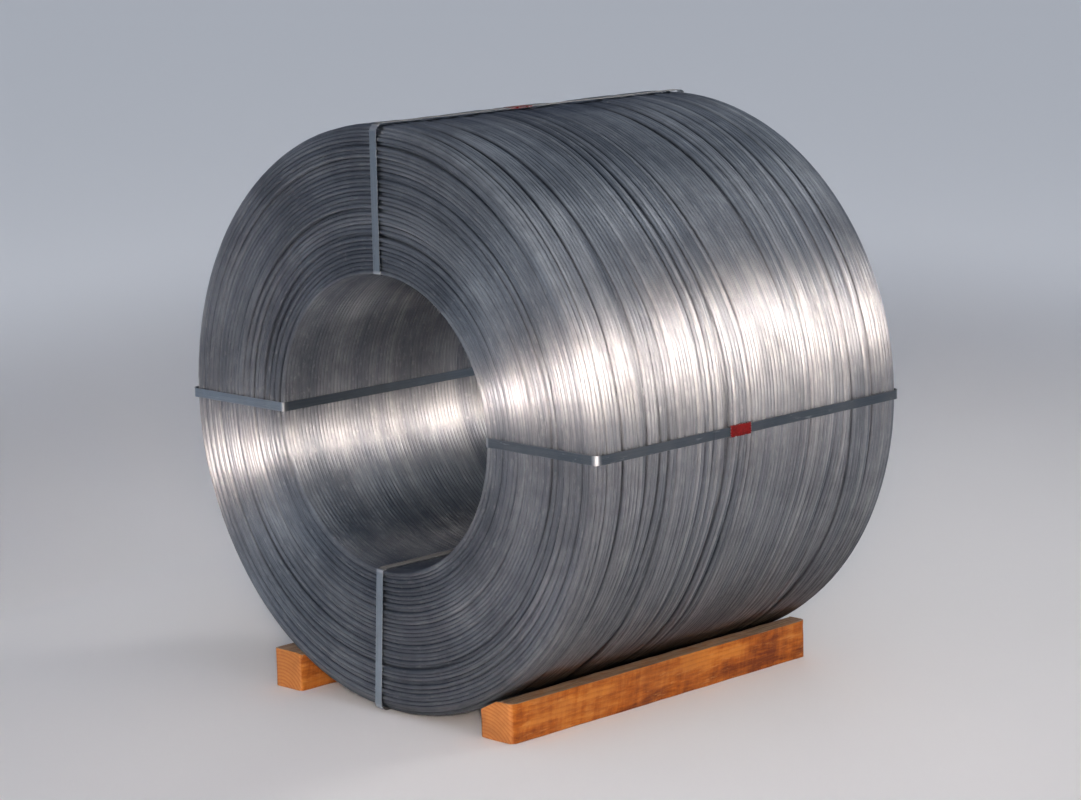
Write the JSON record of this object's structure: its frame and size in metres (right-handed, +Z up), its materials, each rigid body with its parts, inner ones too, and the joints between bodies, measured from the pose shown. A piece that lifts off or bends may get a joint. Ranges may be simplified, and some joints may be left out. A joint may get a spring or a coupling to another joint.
{
  "type": "coil of nickel alloy wire",
  "caption": "Thick ring of close-wound silver-grey alloy wire with an open bore, held by flat steel straps and lying on its side between two timber chocks.",
  "frame": {"origin": "on the floor under the middle of the coil, at the bottom centre of the bounding box", "axes": "+Y along the coil's axis away from its front end, +X to the right of the front end, +Z up"},
  "size_m": [1.2018, 0.8952, 1.2024],
  "materials": {
    "wire": "bright drawn wire, close-wound",
    "strap": "blue-grey steel strapping",
    "seal": "red crimp seal, semi-gloss",
    "timber": "rough-sawn pine"
  },
  "bodies": {
    "root": {"wire_coil": "wire", "strap_top": "strap", "strap_right": "strap", "strap_bottom": "strap", "strap_left": "strap", "seal_top": "seal", "seal_right": "seal", "seal_bottom": "seal", "seal_left": "seal", "chock_left": "timber", "chock_right": "timber"}
  },
  "joints": []
}
